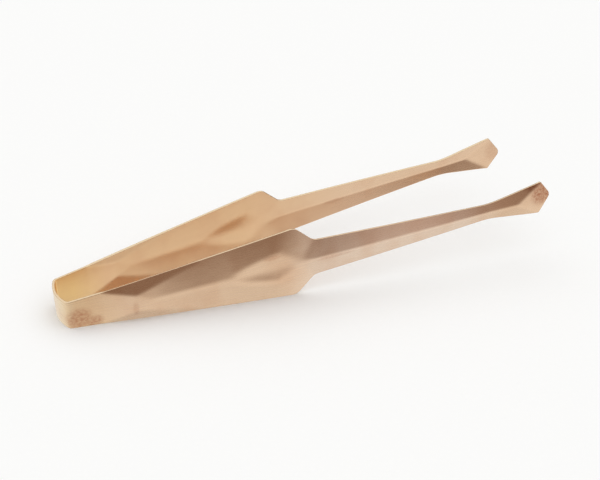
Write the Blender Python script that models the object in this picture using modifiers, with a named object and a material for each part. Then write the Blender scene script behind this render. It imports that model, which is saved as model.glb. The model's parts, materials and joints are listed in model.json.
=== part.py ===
"""Charcoal tongs: a strip of spring sheet with a bow at its back and two pressed arms.

Metres, +Z up. Construction frame: X runs from the outside of the bow's back to the tips,
Y across the opening and Z across the strip, with Z = 0 on the strip's centre line. The
empty at the end of this file lays that frame on the ground as the tongs really lie, on
the strip's lower edges, with their box centred over the origin.
"""
import math

import bmesh
import bpy
from mathutils import Matrix, Vector

# Sheet
SHEET = 0.0010
FLEX_GAP = 0.0003

# Half widths of the strip, measured from its centre line
BOW_HALF_WIDTH = 0.00605
LEG_END_HALF_WIDTH = 0.00745
SHOULDER_HALF_WIDTH = 0.0165
NOTCH_HALF_WIDTH = 0.00855
NECK_HALF_WIDTH = 0.0036
SPADE_HALF_WIDTH = 0.0079

# Lengths along an arm, one after the other from the outside of the bow's back
LEG_LENGTH = 0.0166
RAMP_LENGTH = 0.0129
RAMP_TOP_LENGTH = 0.0071
RIDGE_LENGTH = 0.0323
HOLLOW_LENGTH = 0.0230
SHOULDER_RUN = 0.0061
NOTCH_RUN = 0.0082
FINGER_LENGTH = 0.0826
SPADE_LENGTH = 0.0254
TIP_LENGTH = 0.0058

# Creases of the pressing that end between those stations
FLANK_LENGTH = 0.0236
HOLLOW_TAIL = 0.0074
RIDGE_PAST_NECK = 0.0132

# Pressed form, as heights outward from the arm's edges
PRESS_HEIGHT = 0.0020
FINGER_ROOT_HEIGHT = 0.0016
FINGER_END_HEIGHT = 0.00065
RAMP_TOP_HALF_WIDTH = 0.0031
HOLLOW_HALF_WIDTH = 0.0075
HOLLOW_DEPTH = 0.0014
HOLLOW_FLARE = 0.6

# Corner radii of the strip's outline
SHOULDER_RADIUS = 0.0012
NOTCH_RADIUS = 0.0025
NECK_RADIUS = 0.040
SPADE_RADIUS = 0.0009
TIP_RADIUS = 0.0030
ARC_STEPS = 4
HOLLOW_STEPS = 6
FINGER_STEPS = 4

# Bow and opening in plan, on the sheet's middle surface
ROOT_HALF_GAP = 0.0085
SPREAD_SLOPE = 0.100
ARM_RADIUS = 2.75
BACK_RADIUS = 0.0188
CORNER_RADIUS = 0.0016
BACK_STEPS = 12
CORNER_STEPS = 5
LEG_STEPS = 3

# Looks and mesh
COPPER = (0.60, 0.36, 0.23, 1.0)
COPPER_ROUGHNESS = 0.32
SHARP_ANGLE = math.radians(5)
WELD_DISTANCE = 0.00001

# Stations along X, from the outside of the bow's back
RAMP_START = LEG_LENGTH
RAMP_TOP = RAMP_START + RAMP_LENGTH
RIDGE_START = RAMP_TOP + RAMP_TOP_LENGTH
FLANK_END = RAMP_TOP + FLANK_LENGTH
HOLLOW_START = RIDGE_START + RIDGE_LENGTH
HOLLOW_WIDEST = HOLLOW_START + HOLLOW_LENGTH
HOLLOW_END = HOLLOW_WIDEST + HOLLOW_TAIL
SHOULDER = HOLLOW_WIDEST + SHOULDER_RUN
NOTCH = SHOULDER + NOTCH_RUN
NECK = NOTCH + FINGER_LENGTH
RIDGE_END = NECK + RIDGE_PAST_NECK
SPADE = NECK + SPADE_LENGTH
TIP_POINT = SPADE + TIP_LENGTH


def between(knots, x):
    """Straight-line value at x through knots, a list of (x, value) in rising x."""
    for (x_low, low), (x_high, high) in zip(knots, knots[1:]):
        if x <= x_high:
            share = max(0.0, (x - x_low) / (x_high - x_low))
            return low + (high - low) * share
    return knots[-1][1]


def fillet(before, corner, after, radius):
    """Points of the arc that rounds one corner of an outline."""
    to_before = (before - corner).normalized()
    to_after = (after - corner).normalized()
    half_angle = to_before.angle(to_after) / 2
    centre = corner + (to_before + to_after).normalized() * radius / math.sin(half_angle)
    start = corner + to_before * radius / math.tan(half_angle) - centre
    end = corner + to_after * radius / math.tan(half_angle) - centre
    turn = start.angle_signed(end)
    turns = [Matrix.Rotation(-turn * step / ARC_STEPS, 2) for step in range(ARC_STEPS + 1)]
    return [centre + rotation @ start for rotation in turns]


def upper_edge():
    """Outline of the strip above its centre line, from the bow's back to the tip."""
    corners = [
        (Vector((SHOULDER, SHOULDER_HALF_WIDTH)), SHOULDER_RADIUS),
        (Vector((NOTCH, NOTCH_HALF_WIDTH)), NOTCH_RADIUS),
        (Vector((NECK, NECK_HALF_WIDTH)), NECK_RADIUS),
        (Vector((SPADE, SPADE_HALF_WIDTH)), SPADE_RADIUS),
        (Vector((TIP_POINT, 0)), TIP_RADIUS),
    ]
    bow_edge = Vector((0, BOW_HALF_WIDTH))
    leg_end = Vector((RAMP_START, LEG_END_HALF_WIDTH))
    beyond_tip = Vector((SPADE, -SPADE_HALF_WIDTH))
    points = [leg_end] + [corner for corner, radius in corners] + [beyond_tip]
    outline = [bow_edge, leg_end]
    for index, (corner, radius) in enumerate(corners):
        outline += fillet(points[index], corner, points[index + 2], radius)
    return [(point.x, max(point.y, 0)) for point in outline if point.y > -WELD_DISTANCE]


EDGE = upper_edge()


def half_width(x):
    return between(EDGE, x)


def arm_line(x):
    """Distance of an arm's edges from the plane between the arms, bowed slightly inward."""
    return ROOT_HALF_GAP + SPREAD_SLOPE * x - x * x / (2 * ARM_RADIUS)


def ridge_half_width(x):
    """How far the pressing's inner crease lies from the centre line."""
    if HOLLOW_START < x < HOLLOW_WIDEST:
        return HOLLOW_HALF_WIDTH * ((x - HOLLOW_START) / HOLLOW_LENGTH) ** HOLLOW_FLARE
    knots = [
        (RAMP_START, half_width(RAMP_START)),
        (RAMP_TOP, RAMP_TOP_HALF_WIDTH),
        (RIDGE_START, 0),
        (HOLLOW_START, 0),
        (HOLLOW_WIDEST, HOLLOW_HALF_WIDTH),
        (HOLLOW_END, 0),
    ]
    return between(knots, x)


def ridge_height(x):
    """Height of the inner crease, or of the flat end face past the finger's ridge."""
    if x > RIDGE_END:
        return FINGER_END_HEIGHT * (SPADE - x) / (SPADE - RIDGE_END)
    knots = [
        (RAMP_START, 0),
        (RAMP_TOP, PRESS_HEIGHT),
        (HOLLOW_WIDEST, PRESS_HEIGHT),
        (HOLLOW_END, FINGER_ROOT_HEIGHT),
        (RIDGE_END, FINGER_END_HEIGHT),
    ]
    return between(knots, x)


def centre_height(x):
    """Height on the centre line, which dips in the thumb hollow."""
    if HOLLOW_START < x < HOLLOW_END:
        share = (x - HOLLOW_START) / (HOLLOW_END - HOLLOW_START)
        return ridge_height(x) - HOLLOW_DEPTH * math.sin(math.pi * share) ** 2
    return ridge_height(x)


def outer_crease(x):
    """Half width and height of the crease that runs from the inner one out to the edge."""
    creases = [
        (RAMP_TOP, FLANK_END),
        (HOLLOW_WIDEST, SHOULDER),
        (HOLLOW_END, NOTCH),
        (RIDGE_END, SPADE),
    ]
    for start, end in creases:
        if start < x <= end:
            half = between([(start, ridge_half_width(start)), (end, half_width(end))], x)
            return half, between([(start, ridge_height(start)), (end, 0)], x)
    return ridge_half_width(x), ridge_height(x)


def edge_height(x):
    return min(0, ridge_height(x))


def arm_stations():
    """Every X at which an arm's section is drawn, from the flex line to the tip."""
    creases = [RAMP_TOP, RIDGE_START, FLANK_END, HOLLOW_START, HOLLOW_WIDEST]
    creases += [SHOULDER, HOLLOW_END, NOTCH, NECK, RIDGE_END, SPADE]
    hollow = [
        HOLLOW_START + (HOLLOW_END - HOLLOW_START) * (step / HOLLOW_STEPS) ** 1.5
        for step in range(1, HOLLOW_STEPS)
    ]
    finger = [NOTCH + FINGER_LENGTH * step / FINGER_STEPS for step in range(1, FINGER_STEPS)]
    outline = [x for x, width in EDGE]
    start = RAMP_START + FLEX_GAP / 2
    wanted = sorted(x for x in creases + hollow + finger + outline if x > start)
    stations = [start]
    for x in wanted:
        if x - stations[-1] > FLEX_GAP:
            stations.append(x)
    stations[-1] = EDGE[-1][0]
    return stations


def arm_section(x, side, pivot):
    """One section of an arm, bottom edge to top edge, around its pivot."""
    half = half_width(x)
    outer, outer_height = outer_crease(x)
    inner = min(ridge_half_width(x), half)
    upper = [
        (0, centre_height(x)),
        (inner, ridge_height(x)),
        (min(outer, half), outer_height),
        (half, edge_height(x)),
    ]
    profile = [(-width, height) for width, height in reversed(upper)] + upper[1:]
    line = arm_line(x)
    return [Vector((x, side * (line + height), width)) - pivot for width, height in profile]


def bow_path():
    """Plan of the bow on its middle surface, from the right leg's end to the left one's."""
    back_centre = Vector((SHEET / 2 + BACK_RADIUS, 0))
    leg_end = RAMP_START - FLEX_GAP / 2
    slope = math.atan(SPREAD_SLOPE)
    inner_radius = BACK_RADIUS - CORNER_RADIUS
    inset = ROOT_HALF_GAP + SPREAD_SLOPE * back_centre.x - CORNER_RADIUS / math.cos(slope)
    # Corner centre: CORNER_RADIUS inside the leg's line and inside the back's arc
    foot = inset * math.cos(slope)
    along = math.sqrt(inner_radius ** 2 - foot ** 2)
    to_corner = Vector((-math.sin(slope), math.cos(slope))) * foot
    to_corner -= Vector((math.cos(slope), math.sin(slope))) * along
    corner_centre = back_centre + to_corner
    back_half_angle = math.atan2(to_corner.y, -to_corner.x)
    leg_start = corner_centre + Vector((-math.sin(slope), math.cos(slope))) * CORNER_RADIUS
    half = []
    for step in range(BACK_STEPS // 2 + 1):
        angle = back_half_angle * 2 * step / BACK_STEPS
        half.append(back_centre + Vector((-math.cos(angle), math.sin(angle))) * BACK_RADIUS)
    corner_turn = math.pi / 2 + slope - back_half_angle
    for step in range(1, CORNER_STEPS + 1):
        angle = back_half_angle + corner_turn * step / CORNER_STEPS
        half.append(corner_centre + Vector((-math.cos(angle), math.sin(angle))) * CORNER_RADIUS)
    for step in range(1, LEG_STEPS + 1):
        x = leg_start.x + (leg_end - leg_start.x) * step / LEG_STEPS
        half.append(Vector((x, arm_line(x))))
    right = [Vector((point.x, -point.y)) for point in reversed(half[1:])]
    return right + half


def bow_section(point):
    half = half_width(point.x)
    return [Vector((point.x, point.y, width)) for width in (-half, 0, half)]


def copper(name):
    """Satin copper-coloured plating on steel."""
    material = bpy.data.materials.new(name)
    material.use_nodes = True
    shader = material.node_tree.nodes["Principled BSDF"]
    shader.inputs["Base Color"].default_value = COPPER
    shader.inputs["Metallic"].default_value = 1.0
    shader.inputs["Roughness"].default_value = COPPER_ROUGHNESS
    material.diffuse_color = COPPER
    return material


def sheet_piece(name, sections, location, frame, collection):
    """Loft the sections into an open surface and give it the sheet's thickness."""
    form = bmesh.new()
    rows = [[form.verts.new(point) for point in section] for section in sections]
    for row, next_row in zip(rows, rows[1:]):
        for index in range(len(row) - 1):
            form.faces.new((row[index], row[index + 1], next_row[index + 1], next_row[index]))
    bmesh.ops.remove_doubles(form, verts=form.verts, dist=WELD_DISTANCE)
    bmesh.ops.dissolve_degenerate(form, edges=form.edges, dist=WELD_DISTANCE)
    bmesh.ops.recalc_face_normals(form, faces=form.faces)
    mesh = bpy.data.meshes.new(name)
    form.to_mesh(mesh)
    form.free()
    mesh.shade_smooth()
    mesh.set_sharp_from_angle(angle=SHARP_ANGLE)
    mesh.materials.append(copper(name + "_copper"))
    piece = bpy.data.objects.new(name, mesh)
    collection.objects.link(piece)
    piece.parent = frame
    piece.location = location
    thickness = piece.modifiers.new("sheet", "SOLIDIFY")
    thickness.thickness = SHEET
    thickness.offset = 0
    return piece


def solid_points(piece, depsgraph):
    solid = piece.evaluated_get(depsgraph)
    return [solid.matrix_world @ vertex.co for vertex in solid.data.vertices]


def stand_over_origin(frame, bow, arms):
    """Rest the strip's lower edges on Z = 0, at the bow and at both shoulders.

    The tongs lean by the slope of the line under those two places. Their box is then
    centred over the origin.
    """
    bpy.context.view_layer.update()
    depsgraph = bpy.context.evaluated_depsgraph_get()
    bow_points = solid_points(bow, depsgraph)
    arm_points = [point for arm in arms for point in solid_points(arm, depsgraph)]
    shoulder = min(arm_points, key=lambda point: point.z)
    slope = min((point.z - shoulder.z) / (shoulder.x - point.x) for point in bow_points)
    frame.rotation_euler.y = -math.atan(slope)
    bpy.context.view_layer.update()
    placed = [frame.matrix_world @ point for point in bow_points + arm_points]
    along = [point.x for point in placed]
    frame.location.x = -(min(along) + max(along)) / 2
    frame.location.z = -min(point.z for point in placed)
    bpy.context.view_layer.update()


def build():
    for old in list(bpy.data.objects):
        bpy.data.objects.remove(old)
    collection = bpy.data.collections.new("charcoal_tongs")
    bpy.context.scene.collection.children.link(collection)
    frame = bpy.data.objects.new("tongs_frame", None)
    collection.objects.link(frame)
    bow_sections = [bow_section(point) for point in bow_path()]
    bow = sheet_piece("spring_bow", bow_sections, Vector((0, 0, 0)), frame, collection)
    arms = []
    for name, side in (("left_arm", 1), ("right_arm", -1)):
        pivot = Vector((RAMP_START, side * arm_line(RAMP_START), 0))
        sections = [arm_section(x, side, pivot) for x in arm_stations()]
        arms.append(sheet_piece(name, sections, pivot, frame, collection))
    stand_over_origin(frame, bow, arms)


build()
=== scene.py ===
"""Looks of the charcoal tongs: one strip of pressed spring steel with a pale rose gold plating.

Metres, +Z up. The strip has a frame of its own: X from the outside of the bow's back to the
tips, Y across the opening and Z across the strip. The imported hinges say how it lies.
"""
import json
import math

import bmesh
import bpy
from bpy.props import FloatProperty, FloatVectorProperty, PointerProperty
from bpy.types import NodeSocket, Operator, Panel, PropertyGroup
from mathutils import Matrix, Vector


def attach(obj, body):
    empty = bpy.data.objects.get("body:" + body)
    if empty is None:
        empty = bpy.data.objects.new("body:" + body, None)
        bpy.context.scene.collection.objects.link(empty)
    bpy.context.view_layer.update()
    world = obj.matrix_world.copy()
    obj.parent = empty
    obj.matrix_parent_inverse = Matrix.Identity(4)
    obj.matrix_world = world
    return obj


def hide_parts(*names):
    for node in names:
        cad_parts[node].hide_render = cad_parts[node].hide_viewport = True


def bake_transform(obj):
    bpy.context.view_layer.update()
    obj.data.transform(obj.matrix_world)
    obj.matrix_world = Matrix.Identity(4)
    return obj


bl_info = {
    "name": "Charcoal tongs",
    "version": (1, 0, 0),
    "blender": (4, 5, 0),
    "location": "View3D > Sidebar > Tongs",
    "description": "Builds sheet-metal charcoal tongs around their packed frame",
    "category": "Add Mesh",
}

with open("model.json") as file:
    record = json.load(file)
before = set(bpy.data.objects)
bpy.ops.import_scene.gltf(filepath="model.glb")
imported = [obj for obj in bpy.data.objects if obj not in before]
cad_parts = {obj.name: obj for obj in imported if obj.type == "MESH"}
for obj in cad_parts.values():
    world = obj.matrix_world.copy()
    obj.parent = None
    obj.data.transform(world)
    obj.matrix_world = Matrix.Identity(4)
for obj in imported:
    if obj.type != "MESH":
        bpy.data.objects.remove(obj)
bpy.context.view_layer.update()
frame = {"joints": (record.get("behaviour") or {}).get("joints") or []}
HINGES = {joint["child"]: joint for joint in frame["joints"]}

# Mesh density of the sheet
ROW_SPACING = 0.0005
COLUMNS = 48
ARC_STEPS = 9
CORNER_STEPS = 10
RIM_SEGMENTS = 2

# Points closer than this are one, and edges that turn by more than this stay hard
SAME_POINT = 0.000001
HARD_ANGLE = math.radians(80)

# The mesh's UV, in metres along and across the strip, and its layer that is 1 on the inside
UV_NAME = "strip"
INNER_NAME = "inner"

# Power of the dish's curve across the hollow, between a V at 1 and a parabola at 2, and the
# power that moves its deepest place towards the tips
DISH_POWER = 1.7
DISH_SHIFT = 1.2

# Where the heights around a point are taken for their mean, as shares of the softness there
SOFT_OFFSETS = (-1, -0.5, 0, 0.5, 1)

# Where the plating changes its tone, in metres along the strip from the middle of the back
BACK_TO_LEG = (0.005, 0.012)
LEG_TO_ARM = (0.016, 0.032)
BLADE_TO_FINGER = (0.095, 0.150)
PALE_FINGER_MIDDLE = 0.150
PALE_FINGER_REACH = 0.055
PALE_FINGER_PLATEAU = 0.030

# Tarnished patches: place along the strip (the right arm is negative) and across it, half the
# length and width in metres, and strength. A patch fades between two shares of its half sizes.
TARNISH = (
    (-0.0130, -0.0025, 0.0060, 0.0058, 0.75),
    (-0.0185, -0.0050, 0.0045, 0.0032, 0.7),
    (-0.0355, -0.0026, 0.0014, 0.0040, 0.3),
    (-0.0940, 0.0058, 0.0045, 0.0014, 0.4),
    (-0.1220, -0.0008, 0.0100, 0.0010, 0.3),
    (-0.2225, 0.0025, 0.0075, 0.0070, 1.0),
    (-0.2185, 0.0068, 0.0070, 0.0030, 0.9),
    (0.1400, -0.0008, 0.0060, 0.0012, 0.3),
    (0.2235, 0.0010, 0.0050, 0.0060, 0.3),
)
TARNISH_FULL = 0.45
TARNISH_GONE = 1.15

# The noise textures stay around 0.5. These values take their upper part, as separate spots.
SPOTS = {"From Min": 0.45, "From Max": 0.75}

# How far the roughness varies to each side of its value
BRUSHED_SPREAD = 0.03
RIM_SPREAD = 0.05

# Heights of a way through the world, from -1 straight down to 1 straight up: from where the light
# grows towards the top, and up to where the ground is shaded
LIGHT_FROM = 0.3
SHADED_TO = -0.6

# The Mix node has several sockets of one name. These are the places of those in use.
VALUE_A = 2
VALUE_B = 3
COLOUR_A = 6
COLOUR_B = 7
COLOUR_OUT = 2

WHITE = (1.0, 1.0, 1.0, 1.0)


def linear(code):
    """Linear RGBA of an sRGB hex colour."""
    channels = [int(code[index:index + 2], 16) / 255 for index in (0, 2, 4)]
    return [c / 12.92 if c <= 0.04045 else ((c + 0.055) / 1.055) ** 2.4 for c in channels] + [1.0]


def size(name, description, default):
    """A length in metres for the sidebar."""
    return FloatProperty(
        name=name, description=description, default=default, min=0, unit="LENGTH", precision=5
    )


def colour(name, description, code):
    """A colour for the sidebar, from its sRGB hex code."""
    return FloatVectorProperty(
        name=name, description=description, default=linear(code), size=4, min=0, max=1, subtype="COLOR"
    )


class TongsOutline(PropertyGroup):
    """Outline of the strip and its plan: lengths follow each other from the bow to the tips."""

    sheet: size("Sheet", "Thickness of the sheet", 0.0010)
    bow_half_width: size("Bow half width", "Half the strip's width at the bow's back", 0.00605)
    leg_end_half_width: size("Leg end half width", "Half the width where the ramp starts", 0.00745)
    shoulder_half_width: size("Shoulder half width", "Half the width at the shoulders", 0.01655)
    notch_half_width: size("Notch half width", "Half the width at the finger's root", 0.00855)
    neck_half_width: size("Neck half width", "Half the width at the neck", 0.0036)
    spade_half_width: size("Spade half width", "Half the width at the spade's corners", 0.0079)
    leg_length: size("Leg", "From the outside of the bow's back to the ramp", 0.0166)
    flex_length: size("Flex length", "Stretch of each leg that bends when squeezed", 0.0090)
    ramp_length: size("Ramp", "Length over which the pressing rises", 0.0129)
    ramp_top_length: size("Ramp top", "From the ramp's top to the start of the ridge", 0.0071)
    ridge_length: size("Ridge", "From there to the thumb hollow", 0.0323)
    hollow_length: size("Hollow", "From the hollow's start to its widest place", 0.0212)
    shoulder_run: size("Shoulder run", "From the hollow's widest place to the shoulders", 0.0079)
    notch_run: size("Notch run", "From the shoulders to the finger's root", 0.0082)
    finger_length: size("Finger", "From the finger's root to the neck", 0.0826)
    spade_length: size("Spade", "From the neck to the spade's corners", 0.0254)
    tip_length: size("Tip", "From the spade's corners to the pointed tip", 0.0058)
    shoulder_radius: size("Shoulder radius", "Rounding of the shoulder corners", 0.0045)
    notch_radius: size("Notch radius", "Rounding of the finger's root", 0.0050)
    neck_radius: size("Neck radius", "Rounding of the outline at the neck", 0.040)
    spade_radius: size("Spade radius", "Rounding of the spade's corners", 0.0009)
    tip_radius: size("Tip radius", "Rounding of the tip", 0.0030)
    root_half_gap: size("Root half gap", "Half the opening where the arms' line would start", 0.0085)
    spread_slope: FloatProperty(
        name="Spread", description="Slope of each arm away from the middle", default=0.100, min=0
    )
    arm_radius: size("Arm radius", "Inward curve of the sprung arms", 2.75)
    back_radius: size("Back radius", "Radius of the bow's shallow back", 0.0188)
    corner_radius: size("Corner radius", "Radius of the bow's two tight bends", 0.0016)


class TongsPressing(PropertyGroup):
    """Pressed form of the arms, as heights outward from their edges, and how soft it is."""

    height: size("Height", "Height of the ridge on the blade", 0.0020)
    hollow_height: size("Hollow height", "Height of the hollow's rim at its widest place", 0.00165)
    finger_root_height: size("Finger root height", "Height of the ridge at the finger's root", 0.0016)
    finger_height: size("Finger height", "Height of the ridge halfway along the finger", 0.0012)
    neck_height: size("Neck height", "Height of the ridge at the neck", 0.0010)
    finger_end_height: size("Finger end height", "Height of the ridge at its end", 0.0016)
    ramp_top_half_width: size("Ramp top half width", "Half the width of the ramp's top", 0.0038)
    hollow_half_width: size("Hollow half width", "Half the width of the thumb hollow", 0.0068)
    hollow_depth: size("Hollow depth", "Depth of the thumb hollow below its rim", 0.00080)
    hollow_flare: FloatProperty(
        name="Hollow flare", description="Power by which the hollow widens", default=0.6, min=0.1
    )
    flank_length: size("Flank", "From the ramp's top to where the flank's crease meets the edge", 0.0265)
    hollow_tail: size("Hollow tail", "From the hollow's widest place to its end", 0.0092)
    shoulder_crease: size(
        "Shoulder crease", "How far the crease from the hollow to the edge leans forward", 0.0008
    )
    ridge_past_neck: size("Ridge past neck", "How far the finger's ridge runs past the neck", 0.0132)
    ramp_softness: size("Ramp softness", "Half the width over which a crease of the ramp turns", 0.0008)
    blade_softness: size("Blade softness", "The same for the blade's ridge and the hollow", 0.0015)
    shoulder_softness: size("Shoulder softness", "The same between the hollow and the finger", 0.0020)
    finger_softness: size("Finger softness", "The same for the finger's ridge", 0.0006)
    spade_softness: size("Spade softness", "The same where the spade flattens", 0.0008)
    rim_radius: size("Rim radius", "Tumbled rounding of the sheared rim", 0.00014)


class TongsFinish(PropertyGroup):
    """Colours and gloss of the plating."""

    back_gold: colour("Back", "Champagne tone on the outside of the bow's back", "EAD6B4")
    leg_gold: colour("Legs", "Yellower tone on the outside of the legs", "E0BF97")
    rose_gold: colour("Arms", "Pale rose gold on the arms and fingers", "E6C6A6")
    # A paler tone along the outside of the fingers
    pale_finger_gold: colour("Pale fingers", "Paler tone along the outside of the fingers", "EAD2BB")
    # Partly the inside's own tone, partly painted warm light bounced between the arms
    inner_gold_and_bounce: colour("Inside", "Deeper gold inside the blades", "E9C398")
    bow_gold: colour("Inside of the bow", "Yellower tone inside the bow and the legs", "ECC78B")
    brush_tone: colour("Brush lines", "Redder tone of some brush lines and clouds, and of the rim", "D3A17C")
    tarnish: colour("Tarnish", "Mottled brown where heat or acid has touched the plating", "B07656")
    roughness: FloatProperty(
        name="Roughness", description="Blur of the brushed faces", default=0.27, min=0, max=1
    )
    inner_blur: FloatProperty(
        name="Inner blur", description="Extra roughness on the inside", default=0.08, min=0, max=0.5
    )
    rim_roughness: FloatProperty(
        name="Rim roughness", description="Blur of the tumbled rim", default=0.22, min=0, max=1
    )


class TongsStage(PropertyGroup):
    """Camera, floor and light."""

    aim: FloatVectorProperty(
        name="Aim", description="Point the camera looks at", size=3, unit="LENGTH",
        default=(-0.001486, -0.000414, 0.015563), precision=5,
    )
    distance: size("Distance", "From the camera to that point", 0.581814)
    azimuth: FloatProperty(
        name="Azimuth", description="Camera's bearing from straight in front, positive to the right",
        default=math.radians(-27.2167), unit="ROTATION",
    )
    elevation: FloatProperty(
        name="Elevation", description="Camera's height above the floor, as an angle",
        default=math.radians(31.3064), unit="ROTATION",
    )
    roll: FloatProperty(
        name="Roll", description="Turn of the camera about its view", default=math.radians(4.239),
        unit="ROTATION",
    )
    lens: FloatProperty(name="Lens", description="Focal length in mm", default=81.669, min=1)
    floor_colour: colour("Floor", "Pale floor", "FDFDFC")
    floor_shade: colour("Floor shade", "Tone of the floor between its fibres", "E4E3E0")
    floor_radius: size("Floor radius", "Radius of the round floor", 2.0)
    horizon: FloatProperty(name="Horizon", description="Soft light from the sides", default=0.35, min=0)
    overhead: FloatProperty(
        name="Overhead", description="Soft light from straight above", default=1.55, min=0
    )
    below: FloatProperty(
        name="Below", description="Light reflected from under the tongs", default=0.7, min=0
    )
    card_colour: colour("Cards", "Brown of the cards that the metal reflects", "91796B")
    card_distance: size("Card distance", "From the tongs' middle to the card on each side", 0.10)
    card_half_width: size("Card half width", "Half the width of each card", 0.7)
    card_foot: size("Card foot", "How far each card reaches down from the tongs' centre line", 0.068)
    card_brown: size("Card brown", "How far below that line each card turns fully brown", 0.003)
    card_top: size("Card top", "How far the card in front reaches up", 0.075)
    back_card_top: size("Back card top", "How far the card behind reaches up", 0.030)
    band_colour: colour("Band", "Paler tone of the band across the front card", "C1ACA4")
    band_place: size("Band place", "Middle of the band, along the tongs from the flex lines", 0.168)
    band_half_width: size("Band half width", "From the band's middle to where it has faded away", 0.063)


def between(knots, x):
    """Straight-line value at x through knots, a list of (x, value) in rising x.

    Before the first knot its value holds, and past the last knot the last stretch runs on.
    """
    pairs = list(zip(knots, knots[1:]))
    for (x_low, low), (x_high, high) in pairs:
        if x <= x_high:
            share = max(0.0, (x - x_low) / (x_high - x_low))
            return low + (high - low) * share
    (x_low, low), (x_high, high) = pairs[-1]
    return low + (high - low) * (x - x_low) / (x_high - x_low)


def fillet(before, corner, after, radius):
    """Points of the arc that rounds one corner of an outline."""
    to_before = (before - corner).normalized()
    to_after = (after - corner).normalized()
    half_angle = to_before.angle(to_after) / 2
    centre = corner + (to_before + to_after).normalized() * radius / math.sin(half_angle)
    start = corner + to_before * radius / math.tan(half_angle) - centre
    end = corner + to_after * radius / math.tan(half_angle) - centre
    turn = start.angle_signed(end)
    turns = [Matrix.Rotation(-turn * step / ARC_STEPS, 2) for step in range(ARC_STEPS + 1)]
    return [centre + rotation @ start for rotation in turns]


def lengths_along(plan):
    """Distance along the strip of each point of a plan from that plan's first point."""
    lengths = [0.0]
    for point, next_point in zip(plan, plan[1:]):
        lengths.append(lengths[-1] + (next_point - point).length)
    return lengths


class Section:
    """The pressing across the strip at one X: height by distance from the centre line."""

    def __init__(self, ridge, inner, outer, outer_height, half, edge_height, dip):
        self.ridge = ridge
        self.inner = inner
        self.dip = dip
        knots = [(inner, ridge), (outer, outer_height), (half, edge_height)]
        self.knots = knots[:1]
        for knot in knots[1:]:
            if knot[0] - self.knots[-1][0] > SAME_POINT:
                self.knots.append(knot)

    def height(self, across):
        across = abs(across)
        if across < self.inner:
            return self.ridge - self.dip * (1 - (across / self.inner) ** DISH_POWER)
        if len(self.knots) == 1:
            return self.ridge
        return between(self.knots, across)


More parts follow.
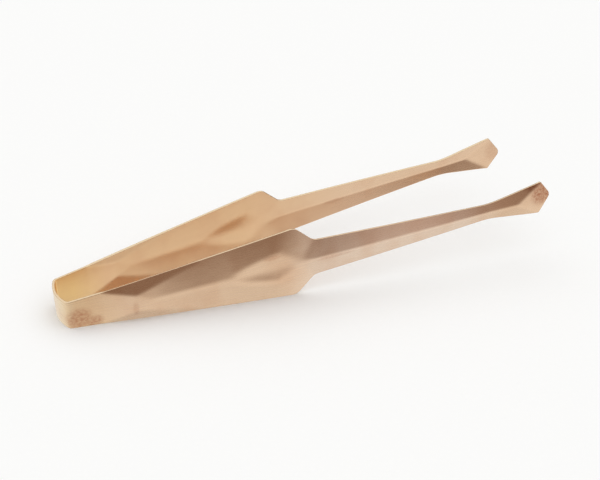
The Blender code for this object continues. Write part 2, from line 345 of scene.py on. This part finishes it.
class Strip:
    """Outline, plan and pressing of the strip in its own frame, from the sidebar's sizes."""

    def __init__(self, outline, press):
        self.size = outline
        self.press = press
        self.ramp_start = outline.leg_length
        self.join = self.ramp_start - outline.flex_length
        self.ramp_top = self.ramp_start + outline.ramp_length
        self.ridge_start = self.ramp_top + outline.ramp_top_length
        self.flank_end = self.ramp_top + press.flank_length
        self.hollow_start = self.ridge_start + outline.ridge_length
        self.hollow_widest = self.hollow_start + outline.hollow_length
        self.hollow_end = self.hollow_widest + press.hollow_tail
        self.shoulder = self.hollow_widest + outline.shoulder_run
        self.notch = self.shoulder + outline.notch_run
        self.neck = self.notch + outline.finger_length
        self.ridge_end = self.neck + press.ridge_past_neck
        self.spade = self.neck + outline.spade_length
        self.tip = self.spade + outline.tip_length
        self.edge = self.upper_edge()

    def upper_edge(self):
        """Outline above the centre line, from the bow's back to the blunt end of the tip."""
        size = self.size
        corners = [
            (Vector((self.shoulder, size.shoulder_half_width)), size.shoulder_radius),
            (Vector((self.notch, size.notch_half_width)), size.notch_radius),
            (Vector((self.neck, size.neck_half_width)), size.neck_radius),
            (Vector((self.spade, size.spade_half_width)), size.spade_radius),
            (Vector((self.tip, 0)), size.tip_radius),
        ]
        leg_end = Vector((self.ramp_start, size.leg_end_half_width))
        beyond_tip = Vector((self.spade, -size.spade_half_width))
        points = [leg_end] + [corner for corner, radius in corners] + [beyond_tip]
        outline = [Vector((0, size.bow_half_width)), leg_end]
        for index, (corner, radius) in enumerate(corners):
            outline += fillet(points[index], corner, points[index + 2], radius)
        return [(point.x, point.y) for point in outline if point.y > SAME_POINT]

    def half_width(self, x):
        return between(self.edge, x)

    def line(self, x):
        """Distance of an arm's edges from the plane between the arms."""
        size = self.size
        return size.root_half_gap + size.spread_slope * x - x * x / (2 * size.arm_radius)

    def inner_half_width(self, x):
        """How far the pressing's inner crease lies from the centre line."""
        press = self.press
        if self.hollow_start < x < self.hollow_widest:
            share = (x - self.hollow_start) / (self.hollow_widest - self.hollow_start)
            return press.hollow_half_width * share ** press.hollow_flare
        if x > self.hollow_end:
            return 0.0
        return between([
            (self.ramp_start, self.half_width(self.ramp_start)),
            (self.ramp_top, press.ramp_top_half_width),
            (self.ridge_start, 0),
            (self.hollow_start, 0),
            (self.hollow_widest, press.hollow_half_width),
            (self.hollow_end, 0),
        ], x)

    def ridge_height(self, x):
        """Height of the inner crease, or of the flat end face past the finger's ridge."""
        press = self.press
        if x > self.ridge_end:
            return press.finger_end_height * (self.spade - x) / (self.spade - self.ridge_end)
        return between([
            (self.ramp_start, 0),
            (self.ramp_top, press.height),
            (self.hollow_start, press.height),
            (self.hollow_widest, press.hollow_height),
            (self.hollow_end, press.finger_root_height),
            ((self.notch + self.neck) / 2, press.finger_height),
            (self.neck, press.neck_height),
            (self.ridge_end, press.finger_end_height),
        ], x)

    def section(self, x):
        """The unsoftened pressing at x, flat on the leg."""
        half = self.half_width(x)
        if x <= self.ramp_start:
            return Section(0.0, half, half, 0.0, half, 0.0, 0.0)
        ridge = self.ridge_height(x)
        inner = min(self.inner_half_width(x), half)
        outer = inner
        outer_height = ridge
        for start, end in (
            (self.ramp_top, self.flank_end),
            (self.hollow_widest, self.hollow_widest + self.press.shoulder_crease),
            (self.hollow_end, self.notch),
            (self.ridge_end, self.spade),
        ):
            if start < x <= end:
                outer = between([(start, self.inner_half_width(start)), (end, self.half_width(end))], x)
                outer_height = between([(start, self.ridge_height(start)), (end, 0)], x)
        dip = 0.0
        if self.hollow_start < x < self.hollow_end:
            share = (x - self.hollow_start) / (self.hollow_end - self.hollow_start)
            dip = self.press.hollow_depth * math.sin(math.pi * share ** DISH_SHIFT)
        return Section(ridge, inner, min(outer, half), outer_height, half, min(0.0, ridge), dip)

    def softness(self, x):
        """Half the width over which a crease turns, by where it is."""
        press = self.press
        return between([
            (self.ramp_top, press.ramp_softness),
            (self.hollow_start, press.blade_softness),
            (self.hollow_widest, press.blade_softness),
            (self.hollow_widest + press.shoulder_crease, press.shoulder_softness),
            (self.shoulder, press.shoulder_softness),
            (self.notch, press.finger_softness),
            (self.neck, press.finger_softness),
            (self.ridge_end, press.spade_softness),
            (self.tip, press.spade_softness),
        ], x)

    def soft_heights(self, x, places):
        """Heights at one X, each the mean over a small square, which rounds the creases."""
        reach = self.softness(x)
        offsets = [reach * share for share in SOFT_OFFSETS]
        sections = [self.section(x + offset) for offset in offsets]
        count = len(offsets) ** 2
        return [
            sum(section.height(place + offset) for section in sections for offset in offsets) / count
            for place in places
        ]

    def across(self, half):
        """Distances from the centre line of one row's points.

        The column along each rim is narrow, twice the rim's radius at most, for the rim's bevel.
        """
        support = min(self.press.rim_radius * 2, half / 4)
        inside = half - support
        middle = [inside * (2 * step / (COLUMNS - 2) - 1) for step in range(COLUMNS - 1)]
        return [-half] + middle + [half]

    def bow_plan(self):
        """Plan of the middle surface from the middle of the bow's back to the leg."""
        size = self.size
        radius = size.back_radius
        back_centre = Vector((size.sheet / 2 + radius, 0))
        slope = math.atan(size.spread_slope)
        leg_way = Vector((math.cos(slope), math.sin(slope)))
        outward = Vector((-leg_way.y, leg_way.x))
        inset = size.root_half_gap + size.spread_slope * back_centre.x
        foot = (inset - size.corner_radius / math.cos(slope)) * math.cos(slope)
        back = math.sqrt((radius - size.corner_radius) ** 2 - foot ** 2)
        to_corner = outward * foot - leg_way * back
        corner_centre = back_centre + to_corner
        back_angle = math.atan2(to_corner.y, -to_corner.x)
        corner_turn = math.pi / 2 + slope - back_angle
        back_steps = math.ceil(radius * back_angle / ROW_SPACING)
        plan = []
        for step in range(back_steps):
            angle = back_angle * step / back_steps
            plan.append(back_centre + Vector((-math.cos(angle), math.sin(angle))) * radius)
        for step in range(CORNER_STEPS + 1):
            angle = back_angle + corner_turn * step / CORNER_STEPS
            arm = Vector((-math.cos(angle), math.sin(angle))) * size.corner_radius
            plan.append(corner_centre + arm)
        return plan

    def arm_plan(self, start, end):
        """Plan of the middle surface between two stations, with a row at every outline point."""
        stations = [start] + [x for x, half in self.edge if start + SAME_POINT < x < end] + [end]
        plan = []
        for low, high in zip(stations, stations[1:]):
            steps = max(1, math.ceil((high - low) / ROW_SPACING))
            for step in range(steps):
                x = low + (high - low) * step / steps
                plan.append(Vector((x, self.line(x))))
        plan.append(Vector((end, self.line(end))))
        return plan

    def bow_piece_plan(self):
        """Plan of the left half of the bow's piece, which ends on the rigid part of the leg."""
        plan = self.bow_plan()
        return plan + self.arm_plan(plan[-1].x, self.join)[1:]


def strip_to_world(flex_lines):
    """How the strip's own frame lies, from the X of the flex lines in it and their two hinges."""
    hinges = [HINGES["left_arm"], HINGES["right_arm"]]
    across = Vector(hinges[0]["axis"]).normalized()
    along = Vector((0, 1, 0)).cross(across)
    between_hinges = (Vector(hinges[0]["pos_m"]) + Vector(hinges[1]["pos_m"])) / 2
    origin = between_hinges - along * flex_lines
    return Matrix.Translation(origin) @ Matrix((along, (0, 1, 0), across)).transposed().to_4x4()


def lay_sheet(strip, plan, lengths, pressed):
    """A grid laid on the middle surface along plan, as a bmesh with its UV in metres.

    Its layers mark the outline, and the row where the sheet goes on in the next piece.
    """
    form = bmesh.new()
    last = len(plan) - 1
    bmesh.ops.create_grid(form, x_segments=last, y_segments=COLUMNS, size=1)
    outline = form.verts.layers.int.new("outline")
    join = form.verts.layers.int.new("join")
    uv = form.loops.layers.uv.new(UV_NAME)
    rows = [[] for point in plan]
    for vertex in form.verts:
        rows[round((vertex.co.x + 1) / 2 * last)].append(vertex)
    for index, (row, point) in enumerate(zip(rows, plan)):
        row.sort(key=lambda vertex: vertex.co.y)
        places = strip.across(strip.half_width(point.x))
        heights = strip.soft_heights(point.x, places) if pressed else [0.0] * len(places)
        for vertex, place, height in zip(row, places, heights):
            vertex.co = (point.x, point.y + height, place)
            vertex[outline] = abs(place) == abs(places[0]) or (pressed and index == last)
            vertex[join] = index == (0 if pressed else last)
            for loop in vertex.link_loops:
                loop[uv].uv = (lengths[index], place)
    return form


def mirror_left_to_right(form, keep_left):
    """Mirror a left half over the plane between the arms, with or without keeping it."""
    uv = form.loops.layers.uv[UV_NAME]
    left = list(form.verts)
    geometry = form.verts[:] + form.edges[:] + form.faces[:]
    bmesh.ops.mirror(form, geom=geometry, merge_dist=SAME_POINT, axis="Y")
    if not keep_left:
        bmesh.ops.delete(form, geom=left, context="VERTS")
    for face in form.faces:
        if face.calc_center_median().y < 0:
            for loop in face.loops:
                loop[uv].uv.x = -abs(loop[uv].uv.x)


def give_thickness(form, sheet, rim_radius):
    """Turn the laid sheet into a closed solid with a rounded rim. The rim takes material 1.

    The end faces at the joins keep their edges, so that both pieces have the same section there.
    """
    outline = form.verts.layers.int["outline"]
    join = form.verts.layers.int["join"]
    inner = form.verts.layers.float.new(INNER_NAME)
    bmesh.ops.remove_doubles(form, verts=form.verts, dist=SAME_POINT)
    bmesh.ops.recalc_face_normals(form, faces=form.faces)
    form.normal_update()
    outside = set(form.verts)
    for vertex in outside:
        vertex.co += vertex.normal * sheet / 2
    bmesh.ops.solidify(form, geom=form.faces[:], thickness=sheet)
    for vertex in form.verts:
        vertex[inner] = float(vertex not in outside)
    for face in form.faces:
        face.smooth = True
        face.material_index = int(all(vertex[outline] for vertex in face.verts))
    ends = {face for face in form.faces if all(vertex[join] for vertex in face.verts)}
    rim = [
        edge for edge in form.edges
        if edge.link_faces[0].material_index != edge.link_faces[1].material_index
        and not ends.intersection(edge.link_faces)
    ]
    bmesh.ops.bevel(
        form, geom=rim, offset=rim_radius, segments=RIM_SEGMENTS, affect="EDGES", profile=0.5, material=-1
    )


def sharpen_joins(form):
    """Keep the hidden end faces, where two pieces meet, out of the smooth shading."""
    for edge in form.edges:
        if edge.calc_face_angle(0) > HARD_ANGLE:
            edge.smooth = False


def settle_order(form):
    """Order the form's elements by their places, because the bevel's order changes with each run."""
    kinds = (
        (form.verts, lambda vertex: vertex.co),
        (form.edges, lambda edge: edge.verts[0].co + edge.verts[1].co),
        (form.faces, lambda face: face.calc_center_median()),
    )
    for elements, middle in kinds:
        in_order = sorted(elements, key=lambda element: middle(element)[:])
        ranks = {element: rank for rank, element in enumerate(in_order)}
        elements.sort(key=ranks.get)
        elements.index_update()


def make_piece(name, form, place, materials):
    """Finish a form as an object at the origin, with its place in its mesh."""
    sharpen_joins(form)
    form.transform(place)
    settle_order(form)
    mesh = bpy.data.meshes.new(name)
    form.to_mesh(mesh)
    form.free()
    for material in materials:
        mesh.materials.append(material)
    piece = bpy.data.objects.new(name, mesh)
    bpy.context.scene.collection.objects.link(piece)
    return piece


def add(tree, kind, inputs=None, **settings):
    """Add one node. inputs gives its sockets a value or a link from another node's socket."""
    node = tree.nodes.new(kind)
    for name, value in settings.items():
        setattr(node, name, value)
    for name, value in (inputs or {}).items():
        if isinstance(value, NodeSocket):
            tree.links.new(value, node.inputs[name])
        else:
            node.inputs[name].default_value = value
    return node


def bump_around(tree, value, middle, reach, plateau=0.0):
    """1 where value is within plateau of middle, fading smoothly to 0 at reach from it."""
    offset = add(tree, "ShaderNodeMath", {0: value, 1: middle}, operation="SUBTRACT")
    aside = add(tree, "ShaderNodeMath", {0: offset.outputs["Value"]}, operation="ABSOLUTE")
    fade = add(tree, "ShaderNodeMapRange", {
        "Value": aside.outputs["Value"], "From Min": reach, "From Max": plateau,
    }, interpolation_type="SMOOTHSTEP")
    return fade.outputs["Result"]


def tarnish_mask(tree, strip_uv, inner):
    """How tarnished the plating is, from mottled patches placed along and across the strip.

    Each patch is on one face alone: the outside of the right arm and the inside of the left.
    """
    # Specks are about 0.6 mm wide, and the plating between them is tarnished less
    specks = add(tree, "ShaderNodeTexNoise", {
        "Vector": strip_uv, "Scale": 1 / 0.0012, "Detail": 4.0, "Roughness": 0.6,
    })
    mask = 0.0
    for along, across, half_length, half_width, strength in TARNISH:
        centred = add(tree, "ShaderNodeMapping", {
            "Vector": strip_uv, "Location": (along, across, 0), "Scale": (half_length, half_width, 1),
        }, vector_type="TEXTURE")
        reach = add(tree, "ShaderNodeVectorMath", {0: centred.outputs["Vector"]}, operation="LENGTH")
        fade = add(tree, "ShaderNodeMapRange", {
            "Value": reach.outputs["Value"], "From Min": TARNISH_GONE, "From Max": TARNISH_FULL,
            "To Max": strength,
        }, interpolation_type="SMOOTHSTEP")
        mask = add(tree, "ShaderNodeMath", {
            0: fade.outputs["Result"], 1: mask,
        }, operation="MAXIMUM").outputs["Value"]
    mottle = add(tree, "ShaderNodeMapRange", {
        "Value": specks.outputs["Fac"], "From Min": 0.35, "From Max": 0.65, "To Min": 0.4,
    })
    # Left is 1 on the left arm, inner is 1 on the inside, and a patch shows where the two agree
    parts = add(tree, "ShaderNodeSeparateXYZ", {"Vector": strip_uv})
    left = add(tree, "ShaderNodeMath", {0: parts.outputs["X"], 1: 0.0}, operation="GREATER_THAN")
    touched = add(tree, "ShaderNodeMath", {
        0: left.outputs["Value"], 1: inner, 2: 0.5,
    }, operation="COMPARE")
    mottled = add(tree, "ShaderNodeMath", {0: mask, 1: mottle.outputs["Result"]}, operation="MULTIPLY")
    return add(tree, "ShaderNodeMath", {
        0: mottled.outputs["Value"], 1: touched.outputs["Value"],
    }, operation="MULTIPLY").outputs["Value"]


def brushed_rose_gold_plating(finish):
    """Rose gold plating on steel brushed lengthwise: satin, streaked along the strip."""
    material = bpy.data.materials.get("brushed_rose_gold_plating")
    if material:
        return material
    material = bpy.data.materials.new("brushed_rose_gold_plating")
    material.use_nodes = True
    tree = material.node_tree
    shader = tree.nodes["Principled BSDF"]
    shader.inputs["Metallic"].default_value = 1.0
    # Brushing along the strip spreads reflections across it
    shader.inputs["Anisotropic"].default_value = 0.5
    shader.inputs["Anisotropic Rotation"].default_value = 0.25
    strip_uv = add(tree, "ShaderNodeUVMap", uv_map=UV_NAME).outputs["UV"]

    # Brush lines are 30 mm long. They are 0.05 mm apart on the real sheet and are drawn 0.25 mm
    # apart, to show at all.
    stretched = add(tree, "ShaderNodeMapping", {
        "Vector": strip_uv, "Scale": (1 / 0.03, 1 / 0.00025, 1.0),
    })
    lines = add(tree, "ShaderNodeTexNoise", {
        "Vector": stretched.outputs["Vector"], "Scale": 1.0, "Detail": 3.0, "Roughness": 0.6,
    })
    # Plating and sheet are uneven in clouds about 12 mm across
    solid = add(tree, "ShaderNodeTexCoord")
    clouds = add(tree, "ShaderNodeTexNoise", {
        "Vector": solid.outputs["Object"], "Scale": 1 / 0.012, "Detail": 2.0,
    })

    # The tone changes along the strip, from champagne on the bow's back to rose gold on the arms
    parts = add(tree, "ShaderNodeSeparateXYZ", {"Vector": strip_uv})
    along = add(tree, "ShaderNodeMath", {0: parts.outputs["X"]}, operation="ABSOLUTE").outputs[0]
    past_back = add(tree, "ShaderNodeMapRange", {
        "Value": along, "From Min": BACK_TO_LEG[0], "From Max": BACK_TO_LEG[1],
    })
    past_leg = add(tree, "ShaderNodeMapRange", {
        "Value": along, "From Min": LEG_TO_ARM[0], "From Max": LEG_TO_ARM[1],
    })
    base = add(tree, "ShaderNodeMix", {
        "Factor": past_back.outputs["Result"], COLOUR_A: finish.back_gold, COLOUR_B: finish.leg_gold,
    }, data_type="RGBA").outputs[COLOUR_OUT]
    base = add(tree, "ShaderNodeMix", {
        "Factor": past_leg.outputs["Result"], COLOUR_A: base, COLOUR_B: finish.rose_gold,
    }, data_type="RGBA").outputs[COLOUR_OUT]
    # The outside of the fingers is paler, most along their middle stretch
    paler_fingers = bump_around(tree, along, PALE_FINGER_MIDDLE, PALE_FINGER_REACH, plateau=PALE_FINGER_PLATEAU)
    base = add(tree, "ShaderNodeMix", {
        "Factor": paler_fingers, COLOUR_A: base, COLOUR_B: finish.pale_finger_gold,
    }, data_type="RGBA").outputs[COLOUR_OUT]
    # Inside, the gold is deeper: partly the plating's own tone and partly painted warm light bounced between
    # the strip's facing insides. It turns into the outside's tone towards the fingers
    inner = add(tree, "ShaderNodeAttribute", attribute_name=INNER_NAME)
    inside = add(tree, "ShaderNodeMix", {
        "Factor": past_leg.outputs["Result"], COLOUR_A: finish.bow_gold, COLOUR_B: finish.inner_gold_and_bounce,
    }, data_type="RGBA").outputs[COLOUR_OUT]
    before_finger = add(tree, "ShaderNodeMapRange", {
        "Value": along, "From Min": BLADE_TO_FINGER[1], "From Max": BLADE_TO_FINGER[0],
    })
    inner_tone_and_bounce = add(tree, "ShaderNodeMix", {
        "Factor": before_finger.outputs["Result"], COLOUR_A: finish.rose_gold, COLOUR_B: inside,
    }, data_type="RGBA").outputs[COLOUR_OUT]
    base = add(tree, "ShaderNodeMix", {
        "Factor": inner.outputs["Fac"], COLOUR_A: base, COLOUR_B: inner_tone_and_bounce,
    }, data_type="RGBA").outputs[COLOUR_OUT]
    # Some brush lines and some clouds are redder
    depth = add(tree, "ShaderNodeMapRange", {"Value": lines.outputs["Fac"], "To Max": 0.12, **SPOTS})
    cloud_depth = add(tree, "ShaderNodeMapRange", {
        "Value": clouds.outputs["Fac"], "To Max": 0.3, **SPOTS,
    })
    worn = add(tree, "ShaderNodeMath", {
        0: depth.outputs["Result"], 1: cloud_depth.outputs["Result"],
    }, operation="ADD")
    base = add(tree, "ShaderNodeMix", {
        "Factor": worn.outputs["Value"], COLOUR_A: base, COLOUR_B: finish.brush_tone,
    }, data_type="RGBA").outputs[COLOUR_OUT]
    stained = tarnish_mask(tree, strip_uv, inner.outputs["Fac"])
    base = add(tree, "ShaderNodeMix", {
        "Factor": stained, COLOUR_A: base, COLOUR_B: finish.tarnish,
    }, data_type="RGBA").outputs[COLOUR_OUT]

    blur = add(tree, "ShaderNodeMapRange", {
        "Value": lines.outputs["Fac"],
        "To Min": finish.roughness - BRUSHED_SPREAD, "To Max": finish.roughness + BRUSHED_SPREAD,
    })
    # The inside of the bent strip is out of the brush's reach and stays duller
    duller = add(tree, "ShaderNodeMath", {
        0: before_finger.outputs["Result"], 1: inner.outputs["Fac"],
    }, operation="MULTIPLY")
    blur = add(tree, "ShaderNodeMath", {
        0: duller.outputs["Value"], 1: finish.inner_blur, 2: blur.outputs["Result"],
    }, operation="MULTIPLY_ADD")
    # The sheet waves by about 0.1 mm, and the brush lines are far shallower
    wavy = add(tree, "ShaderNodeBump", {
        "Height": clouds.outputs["Fac"], "Strength": 1.0, "Distance": 0.00012,
    })
    brushed = add(tree, "ShaderNodeBump", {
        "Height": lines.outputs["Fac"], "Strength": 0.004, "Distance": 0.0001,
        "Normal": wavy.outputs["Normal"],
    })
    tangent = add(tree, "ShaderNodeTangent", direction_type="UV_MAP", uv_map=UV_NAME)
    links = tree.links
    links.new(base, shader.inputs["Base Color"])
    links.new(blur.outputs["Value"], shader.inputs["Roughness"])
    links.new(brushed.outputs["Normal"], shader.inputs["Normal"])
    links.new(tangent.outputs["Tangent"], shader.inputs["Tangent"])
    return material


def tumbled_rim_plating(finish):
    """The same plating on the sheared and tumbled rim: no brush lines, and a little brighter, partly from
    the tumbling and partly as a painted highlight along the rim.
    """
    material = bpy.data.materials.get("tumbled_rim_plating")
    if material:
        return material
    material = bpy.data.materials.new("tumbled_rim_plating")
    material.use_nodes = True
    tree = material.node_tree
    shader = tree.nodes["Principled BSDF"]
    shader.inputs["Metallic"].default_value = 1.0
    solid = add(tree, "ShaderNodeTexCoord")
    # Tumbling leaves a grain of about 0.3 mm
    grain = add(tree, "ShaderNodeTexNoise", {
        "Vector": solid.outputs["Object"], "Scale": 1 / 0.0006, "Detail": 2.0,
    })
    # The pale champagne base is partly a painted highlight along the rim
    tone = add(tree, "ShaderNodeMapRange", {"Value": grain.outputs["Fac"], "To Max": 0.35})
    base = add(tree, "ShaderNodeMix", {
        "Factor": tone.outputs["Result"], COLOUR_A: finish.back_gold, COLOUR_B: finish.brush_tone,
    }, data_type="RGBA")
    blur = add(tree, "ShaderNodeMapRange", {
        "Value": grain.outputs["Fac"],
        "To Min": finish.rim_roughness - RIM_SPREAD, "To Max": finish.rim_roughness + RIM_SPREAD,
    })
    tree.links.new(base.outputs[COLOUR_OUT], shader.inputs["Base Color"])
    tree.links.new(blur.outputs["Result"], shader.inputs["Roughness"])
    return material


def tongs_materials():
    """Materials of a piece, in the order of its slots: the faces and the rim."""
    finish = bpy.context.scene.tongs_finish
    return [brushed_rose_gold_plating(finish), tumbled_rim_plating(finish)]


def current_strip():
    """The strip with the sizes that the sidebar shows."""
    scene = bpy.context.scene
    return Strip(scene.tongs_outline, scene.tongs_pressing)


class TONGS_OT_spring_bow(Operator):
    """Build the bow: its curved back, two tight bends and the rigid part of both legs"""

    bl_idname = "tongs.spring_bow"
    bl_label = "Spring bow"

    def execute(self, context):
        strip = current_strip()
        plan = strip.bow_piece_plan()
        form = lay_sheet(strip, plan, lengths_along(plan), pressed=False)
        mirror_left_to_right(form, keep_left=True)
        give_thickness(form, strip.size.sheet, strip.press.rim_radius)
        place = strip_to_world(strip.ramp_start)
        bow = make_piece("spring_bow_sheet", form, place, tongs_materials())
        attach(bow, "spring_bow")
        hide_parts("spring_bow")
        return {"FINISHED"}


class TONGS_OT_arms(Operator):
    """Build both pressed arms, each with the end of its leg"""

    bl_idname = "tongs.arms"
    bl_label = "Arms"

    def execute(self, context):
        strip = current_strip()
        bow_length = lengths_along(strip.bow_piece_plan())[-1]
        plan = strip.arm_plan(strip.join, strip.edge[-1][0])
        lengths = [bow_length + length for length in lengths_along(plan)]
        left = lay_sheet(strip, plan, lengths, pressed=True)
        right = left.copy()
        mirror_left_to_right(right, keep_left=False)
        place = strip_to_world(strip.ramp_start)
        for name, side, form in (("left_arm", 1, left), ("right_arm", -1, right)):
            give_thickness(form, strip.size.sheet, strip.press.rim_radius)
            arm = make_piece(name + "_sheet", form, place, tongs_materials())
            start = place @ Vector((strip.join, side * strip.line(strip.join), 0))
            end = place @ Vector((strip.ramp_start, side * strip.line(strip.ramp_start), 0))
            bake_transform(arm)
            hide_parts(name)
        return {"FINISHED"}


def white_card(stage):
    """Matt white card: an even tone, with the faint grain of its fibres."""
    material = bpy.data.materials.new("white_card")
    material.use_nodes = True
    tree = material.node_tree
    shader = tree.nodes["Principled BSDF"]
    shader.inputs["Roughness"].default_value = 1.0
    shader.inputs["Specular IOR Level"].default_value = 0.0
    place = add(tree, "ShaderNodeTexCoord")
    # Fibres are 0.02 mm wide and are drawn at 1 mm
    fibres = add(tree, "ShaderNodeTexNoise", {
        "Vector": place.outputs["Object"], "Scale": 1 / 0.002, "Detail": 3.0,
    })
    grain = add(tree, "ShaderNodeMapRange", {"Value": fibres.outputs["Fac"], "To Max": 0.08})
    tone = add(tree, "ShaderNodeMix", {
        "Factor": grain.outputs["Result"], COLOUR_A: stage.floor_colour, COLOUR_B: stage.floor_shade,
    }, data_type="RGBA")
    tree.links.new(tone.outputs[COLOUR_OUT], shader.inputs["Base Color"])
    return material


def stage_object(name, form, material):
    """Finish a form as an object that isn't part of the tongs."""
    mesh = bpy.data.meshes.new(name)
    form.to_mesh(mesh)
    form.free()
    mesh.materials.append(material)
    obj = bpy.data.objects.new(name, mesh)
    bpy.context.scene.collection.objects.link(obj)
    return obj


def make_floor(stage):
    """The floor, which the metal doesn't reflect."""
    form = bmesh.new()
    bmesh.ops.create_circle(form, cap_ends=True, segments=96, radius=stage.floor_radius)
    floor = stage_object("floor", form, white_card(stage))
    floor.visible_glossy = False


def graded_card(stage):
    """Glowing card, not a lamp, seen only in the metal's reflections: a painted reflection that fades from
    white at its foot to an even brown.

    A paler band of glow crosses it, which paints a paler reflection on the fingers.
    """
    material = bpy.data.materials.new("graded_card")
    material.use_nodes = True
    tree = material.node_tree
    tree.nodes.clear()
    card_uv = add(tree, "ShaderNodeUVMap", uv_map=UV_NAME)
    parts = add(tree, "ShaderNodeSeparateXYZ", {"Vector": card_uv.outputs["UV"]})
    # The glow fades from white at the card's foot to brown: a painted reflection of the pale floor and the
    # dim room
    glow_fade = add(tree, "ShaderNodeMapRange", {
        "Value": parts.outputs["Y"], "From Max": stage.card_foot - stage.card_brown,
    }, interpolation_type="SMOOTHSTEP")
    band = bump_around(tree, parts.outputs["X"], stage.band_place, stage.band_half_width)
    brown = add(tree, "ShaderNodeMix", {
        "Factor": band, COLOUR_A: stage.card_colour, COLOUR_B: stage.band_colour,
    }, data_type="RGBA")
    tone = add(tree, "ShaderNodeMix", {
        "Factor": glow_fade.outputs["Result"], COLOUR_A: WHITE, COLOUR_B: brown.outputs[COLOUR_OUT],
    }, data_type="RGBA")
    glow = add(tree, "ShaderNodeEmission", {"Color": tone.outputs[COLOUR_OUT], "Strength": 1.0})
    add(tree, "ShaderNodeOutputMaterial", {"Surface": glow.outputs["Emission"]})
    return material


def make_graded_cards(stage):
    """A card on each side of the tongs, leaning as they do. Only the metal's reflections see them.

    Their UV is in metres along the tongs and up from the foot.
    """
    form = bmesh.new()
    uv = form.loops.layers.uv.new(UV_NAME)
    stand = Matrix.Rotation(math.pi / 2, 4, "X")
    for side, top in ((-1, stage.card_top), (1, stage.back_card_top)):
        middle = Vector((0, side * stage.card_distance, (top - stage.card_foot) / 2))
        stretch = Matrix.Diagonal((stage.card_half_width, (top + stage.card_foot) / 2, 1, 1))
        made = bmesh.ops.create_grid(
            form, x_segments=1, y_segments=1, size=1,
            matrix=Matrix.Translation(middle) @ stand @ stretch,
        )
        for vertex in made["verts"]:
            for loop in vertex.link_loops:
                loop[uv].uv = (vertex.co.x, vertex.co.z + stage.card_foot)
    form.transform(strip_to_world(0.0))
    cards = stage_object("graded_cards", form, graded_card(stage))
    cards.visible_camera = False
    cards.visible_diffuse = False
    cards.visible_shadow = False


def make_world(stage):
    """Soft light, strongest from above. Camera and reflections see plain white around the floor."""
    world = bpy.data.worlds.new("studio")
    bpy.context.scene.world = world
    world.use_nodes = True
    tree = world.node_tree
    background = tree.nodes["Background"]
    background.inputs["Color"].default_value = WHITE
    way = add(tree, "ShaderNodeTexCoord")
    parts = add(tree, "ShaderNodeSeparateXYZ", {"Vector": way.outputs["Generated"]})
    glow = add(tree, "ShaderNodeMapRange", {
        "Value": parts.outputs["Z"], "From Min": LIGHT_FROM,
        "To Min": stage.horizon, "To Max": stage.overhead,
    })
    # Straight below, the metal sees the ground that the tongs themselves shade
    shaded = add(tree, "ShaderNodeMapRange", {
        "Value": parts.outputs["Z"], "From Min": -1.0, "From Max": SHADED_TO, "To Min": stage.below,
    }, interpolation_type="SMOOTHSTEP")
    path = add(tree, "ShaderNodeLightPath")
    seen = path.outputs["Is Camera Ray"]
    for kind in ("Is Glossy Ray", "Is Transmission Ray"):
        seen = add(tree, "ShaderNodeMath", {0: seen, 1: path.outputs[kind]}, operation="MAXIMUM").outputs[0]
    strength = add(tree, "ShaderNodeMix", {
        "Factor": seen, VALUE_A: glow.outputs["Result"], VALUE_B: shaded.outputs["Result"],
    })
    tree.links.new(strength.outputs[0], background.inputs["Strength"])


def make_camera(stage):
    """The camera at the photograph's viewing angle."""
    back = Vector((
        math.sin(stage.azimuth) * math.cos(stage.elevation),
        -math.cos(stage.azimuth) * math.cos(stage.elevation),
        math.sin(stage.elevation),
    ))
    data = bpy.data.cameras.new("camera")
    data.lens = stage.lens
    data.sensor_width = 36.0
    data.clip_start = 0.01
    camera = bpy.data.objects.new("camera", data)
    bpy.context.scene.collection.objects.link(camera)
    turn = (-back).to_track_quat("-Z", "Y").to_matrix().to_4x4()
    roll = Matrix.Rotation(stage.roll, 4, "Z")
    place = Vector(stage.aim) + back * stage.distance
    camera.matrix_world = Matrix.Translation(place) @ turn @ roll
    bpy.context.scene.camera = camera


class TONGS_OT_stage(Operator):
    """Make the floor, the light and the camera"""

    bl_idname = "tongs.stage"
    bl_label = "Stage"

    def execute(self, context):
        stage = context.scene.tongs_stage
        make_floor(stage)
        make_graded_cards(stage)
        make_world(stage)
        make_camera(stage)
        context.scene.view_settings.view_transform = "Standard"
        return {"FINISHED"}


class TONGS_PT_panel(Panel):
    """Lists what can be built"""

    bl_idname = "TONGS_PT_panel"
    bl_label = "Charcoal tongs"
    bl_space_type = "VIEW_3D"
    bl_region_type = "UI"
    bl_category = "Tongs"

    def draw(self, context):
        for operator in OPERATORS:
            self.layout.operator(operator.bl_idname)
        for name in GROUPS:
            group = getattr(context.scene, name)
            box = self.layout.box()
            for setting in group.bl_rna.properties:
                if setting.identifier not in ("name", "rna_type"):
                    box.prop(group, setting.identifier)


OPERATORS = (TONGS_OT_spring_bow, TONGS_OT_arms, TONGS_OT_stage)
GROUPS = {
    "tongs_outline": TongsOutline,
    "tongs_pressing": TongsPressing,
    "tongs_finish": TongsFinish,
    "tongs_stage": TongsStage,
}


def register():
    for group in GROUPS.values():
        bpy.utils.register_class(group)
    for name, group in GROUPS.items():
        setattr(bpy.types.Scene, name, PointerProperty(type=group))
    for operator in OPERATORS:
        bpy.utils.register_class(operator)
    bpy.utils.register_class(TONGS_PT_panel)


def unregister():
    bpy.utils.unregister_class(TONGS_PT_panel)
    for operator in reversed(OPERATORS):
        bpy.utils.unregister_class(operator)
    for name in GROUPS:
        delattr(bpy.types.Scene, name)
    for group in reversed(GROUPS.values()):
        bpy.utils.unregister_class(group)


def main():
    register()
    bpy.ops.tongs.spring_bow()
    bpy.ops.tongs.arms()
    bpy.ops.tongs.stage()


if __name__ == "__main__":
    main()
